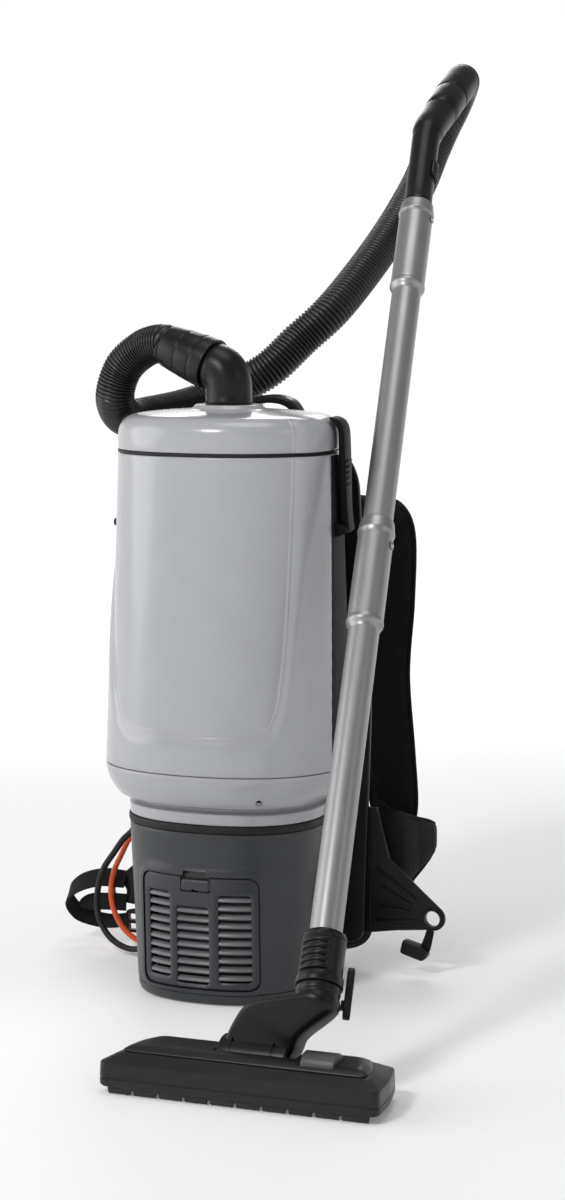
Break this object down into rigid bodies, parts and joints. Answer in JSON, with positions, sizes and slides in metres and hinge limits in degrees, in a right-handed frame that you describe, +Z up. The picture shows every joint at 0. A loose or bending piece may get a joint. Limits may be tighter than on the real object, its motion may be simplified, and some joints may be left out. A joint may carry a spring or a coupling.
{
  "type": "backpack vacuum cleaner",
  "caption": "Backpack vacuum cleaner: oval dust tank on a motor base, padded harness, suction hose, wand and swivelling floor nozzle.",
  "frame": {"origin": "centre of the base's underside, on the floor", "axes": "+Z up, -Y to the front of the tank, +Y to the wearer's side, +X to the side of the wand"},
  "size_m": [0.5917, 0.9077, 1.0244],
  "materials": {
    "tank_grey": "smooth moulded plastic, semi-gloss",
    "base_grey": "moulded plastic with a fine eroded texture",
    "black_plastic": "moulded plastic, slightly satin",
    "hose_plastic": "flexible ribbed plastic hose, satin",
    "black_rubber": "soft moulded rubber",
    "wand_metal": "satin silver tube",
    "zinc": "plain pressed metal",
    "webbing": "flat woven polyester webbing",
    "pad_fabric": "padded mesh fabric with a bound edge",
    "filter_paper": "filter paper",
    "filter_cloth": "filter cloth",
    "foam": "open-cell filter foam",
    "motor_plastic": "glass-filled plastic",
    "fan_metal": "pressed metal",
    "orange_cable": "orange sheathed flexible cable",
    "brush_hair": "nylon bristle strip"
  },
  "bodies": {
    "pack": {"base_plate": "base_grey", "base_housing": "base_grey", "housing_seal": "black_rubber", "exhaust_filter": "foam", "motor_body": "motor_plastic", "fan_case": "fan_metal", "motor_filter": "foam", "lower_shell": "tank_grey", "tank_shell": "tank_grey", "filter_sack": "filter_cloth", "dust_bag": "filter_paper", "back_plate": "black_plastic", "carry_handle": "black_plastic", "hip_bracket": "black_plastic", "back_pad": "pad_fabric", "lumbar_pad": "pad_fabric", "hip_wing_left": "pad_fabric", "hip_wing_right": "pad_fabric", "shoulder_strap_left": "pad_fabric", "shoulder_strap_right": "pad_fabric", "belt_web_left": "webbing", "belt_tail_left": "webbing", "buckle_left": "black_plastic", "buckle_right": "black_plastic", "switch_box": "black_plastic", "lead_connector": "black_plastic", "cable_gland": "black_rubber", "pigtail": "black_rubber", "mains_lead": "orange_cable", "lead_coil": "orange_cable", "mains_plug": "black_plastic", "hose_run": "hose_plastic", "handle_cuff": "black_plastic", "wand_handle": "black_plastic", "upper_tube": "wand_metal", "lower_tube": "wand_metal", "floor_cuff": "black_plastic"},
    "lid": {"lid": "tank_grey", "lid_seal": "black_rubber", "hose_loop": "hose_plastic"},
    "clip_right": {"lid_clip_right": "black_plastic"},
    "clip_left": {"lid_clip_left": "black_plastic"},
    "elbow": {"inlet_elbow": "black_plastic"},
    "cuff": {"hose_cuff": "black_plastic"},
    "air_slider": {"air_slider": "black_plastic"},
    "lower_button": {"lower_button": "zinc"},
    "upper_button": {"upper_button": "zinc"},
    "neck": {"neck": "black_plastic", "parking_hook": "black_plastic"},
    "nozzle": {"nozzle_body": "black_plastic", "nozzle_cover": "black_plastic", "sole_plate": "zinc"},
    "brushes": {"brush_front": "brush_hair", "brush_rear": "brush_hair"},
    "pedal": {"rocker_pedal": "black_plastic"},
    "wheel_left": {"wheel_left": "black_rubber"},
    "wheel_right": {"wheel_right": "black_rubber"},
    "grille": {"grille_cover": "base_grey"},
    "latch": {"grille_latch": "base_grey"},
    "rocker": {"rocker_switch": "black_plastic"}
  },
  "joints": [
    {"name": "lid_lift", "type": "slide", "parent": "pack", "child": "lid", "axis": [0, 0, 1], "range_m": [0, 0.016], "deforming": ["hose_run"]},
    {"name": "clip_right_hinge", "type": "hinge", "parent": "pack", "child": "clip_right", "pos_m": [0.12992, 0.01838, 0.508], "axis": [-0.1564, 0.9877, 0], "range_deg": [0, 14]},
    {"name": "clip_left_hinge", "type": "hinge", "parent": "pack", "child": "clip_left", "pos_m": [-0.12992, 0.01838, 0.508], "axis": [-0.1564, -0.9877, 0], "range_deg": [0, 75]},
    {"name": "elbow_swivel", "type": "hinge", "parent": "lid", "child": "elbow", "pos_m": [0, 0, 0.66], "axis": [0, 0, 1], "range_deg": [-20, 20], "deforming": ["hose_loop"]},
    {"name": "cuff_swivel", "type": "hinge", "parent": "elbow", "child": "cuff", "pos_m": [-0.04659, 0.00751, 0.69053], "axis": [-0.9317, 0.1503, 0.3306], "continuous": true},
    {"name": "air_slider_slide", "type": "slide", "parent": "pack", "child": "air_slider", "axis": [-0.1162, 0.614, 0.7807], "range_m": [0, 0.015]},
    {"name": "lower_button_press", "type": "slide", "parent": "pack", "child": "lower_button", "axis": [-0.9922, -0.036, -0.1194], "range_m": [0, 0.0016], "stiffness_N_per_m": 800, "springref_m": -0.0005},
    {"name": "upper_button_press", "type": "slide", "parent": "pack", "child": "upper_button", "axis": [-0.9922, -0.036, -0.1194], "range_m": [0, 0.0016], "stiffness_N_per_m": 800, "springref_m": -0.0005},
    {"name": "neck_swivel", "type": "hinge", "parent": "pack", "child": "neck", "pos_m": [0.24439, -0.35877, 0.10506], "axis": [-0.1162, 0.614, 0.7807], "range_deg": [-90, 90]},
    {"name": "head_pitch", "type": "hinge", "parent": "neck", "child": "nozzle", "pos_m": [0.187, -0.372, 0.031], "axis": [1, 0, 0], "range_deg": [-30, 40]},
    {"name": "brush_lift", "type": "slide", "parent": "nozzle", "child": "brushes", "axis": [0, 0, 1], "range_m": [0, 0.004]},
    {"name": "pedal_rock", "type": "hinge", "parent": "nozzle", "child": "pedal", "pos_m": [0.261, -0.393, 0.037], "axis": [1, 0, 0], "range_deg": [0, 20]},
    {"name": "wheel_left_roll", "type": "hinge", "parent": "nozzle", "child": "wheel_left", "pos_m": [0.081, -0.35, 0.0085], "axis": [1, 0, 0], "continuous": true},
    {"name": "wheel_right_roll", "type": "hinge", "parent": "nozzle", "child": "wheel_right", "pos_m": [0.293, -0.35, 0.0085], "axis": [1, 0, 0], "continuous": true},
    {"name": "grille_hinge", "type": "hinge", "parent": "pack", "child": "grille", "pos_m": [0, -0.0925, 0.0175], "axis": [1, 0, 0], "range_deg": [0, 70]},
    {"name": "latch_press", "type": "slide", "parent": "grille", "child": "latch", "axis": [0, 1, 0], "range_m": [0, 0.003], "stiffness_N_per_m": 400},
    {"name": "rocker_tilt", "type": "hinge", "parent": "pack", "child": "rocker", "pos_m": [-0.135, 0.0975, 0.155], "axis": [1, 0, 0], "range_deg": [-8, 8]}
  ],
  "couplings": [
    {"joint": "clip_right_hinge", "follows": "lid_lift", "rad_per_m": 15.2},
    {"joint": "clip_left_hinge", "follows": "lid_lift", "rad_per_m": 81.7},
    {"joint": "pedal_rock", "follows": "brush_lift", "rad_per_m": 87.2}
  ]
}
